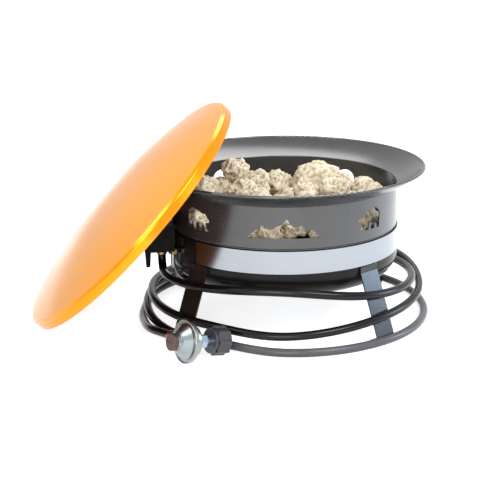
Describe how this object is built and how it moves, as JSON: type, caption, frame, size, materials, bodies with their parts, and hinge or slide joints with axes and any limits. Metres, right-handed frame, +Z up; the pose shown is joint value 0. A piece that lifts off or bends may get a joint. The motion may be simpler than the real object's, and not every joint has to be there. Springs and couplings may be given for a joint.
{
  "type": "propane fire bowl",
  "caption": "Portable gas fire bowl: flared ring with cut-outs on a lower bowl and splayed legs, lava stones, side valve, wound hose with regulator, and a domed lid leaning on the rim.",
  "frame": {"origin": "on the ground under the bowl's axis", "axes": "+Z up the bowl's axis; -Y the front, towards the viewer; +X to the right, away from the leaning lid"},
  "size_m": [0.6874, 0.5537, 0.3654],
  "materials": {
    "black_enamel": "satin",
    "orange_enamel": "satin",
    "silver_foil": "satin",
    "burner_steel": "satin",
    "pipe_aluminium": "satin",
    "valve_brass": "satin",
    "zinc_screws": "satin",
    "knob_plastic": "matte",
    "hose_rubber": "satin",
    "ferrule_copper": "satin",
    "regulator_zinc": "satin",
    "vent_bronze": "satin",
    "nipple_zinc": "satin",
    "nut_plastic": "matte",
    "lava_stone": "rough"
  },
  "bodies": {
    "bowl": {"fire_ring": "black_enamel", "lower_bowl": "black_enamel", "label_band": "silver_foil", "seam_rivets": "black_enamel", "burner_tray": "black_enamel", "burner_ring": "burner_steel", "burner_stands": "burner_steel", "feed_pipe": "pipe_aluminium", "outlet_nut": "valve_brass", "valve_body": "valve_brass", "valve_box": "black_enamel", "valve_bracket": "black_enamel", "bracket_screws": "zinc_screws", "hose_guide": "black_enamel", "inlet_hex": "valve_brass", "valve_ferrule": "ferrule_copper", "gas_hose": "hose_rubber", "regulator_ferrule": "ferrule_copper", "regulator_case": "regulator_zinc", "regulator_bonnet": "regulator_zinc", "vent_cap": "vent_bronze", "inlet_nipple": "nipple_zinc", "lava_rocks_under": "lava_stone", "lava_rocks_upper": "lava_stone", "lava_rocks_crown": "lava_stone", "leg_front_right": "black_enamel", "leg_rear_right": "black_enamel", "leg_rear_left": "black_enamel", "leg_front_left": "black_enamel"},
    "lid": {"lid_shell": "orange_enamel"},
    "knob": {"control_knob": "knob_plastic", "valve_stem": "valve_brass"},
    "tank_nut": {"coupling_nut": "nut_plastic"}
  },
  "joints": [
    {"name": "lid_lift", "type": "slide", "parent": "bowl", "child": "lid", "axis": [0, 0, 1], "range_m": [0, 0.3]},
    {"name": "knob_turn", "type": "hinge", "parent": "bowl", "child": "knob", "pos_m": [-0.2461, -0.05231, 0.1495], "axis": [-0.9781, -0.2079, 0], "range_deg": [0, 180]},
    {"name": "tank_nut_turn", "type": "hinge", "parent": "bowl", "child": "tank_nut", "pos_m": [-0.153, -0.271, 0.03572], "axis": [0.8176, 0.5515, -0.1656], "continuous": true}
  ]
}
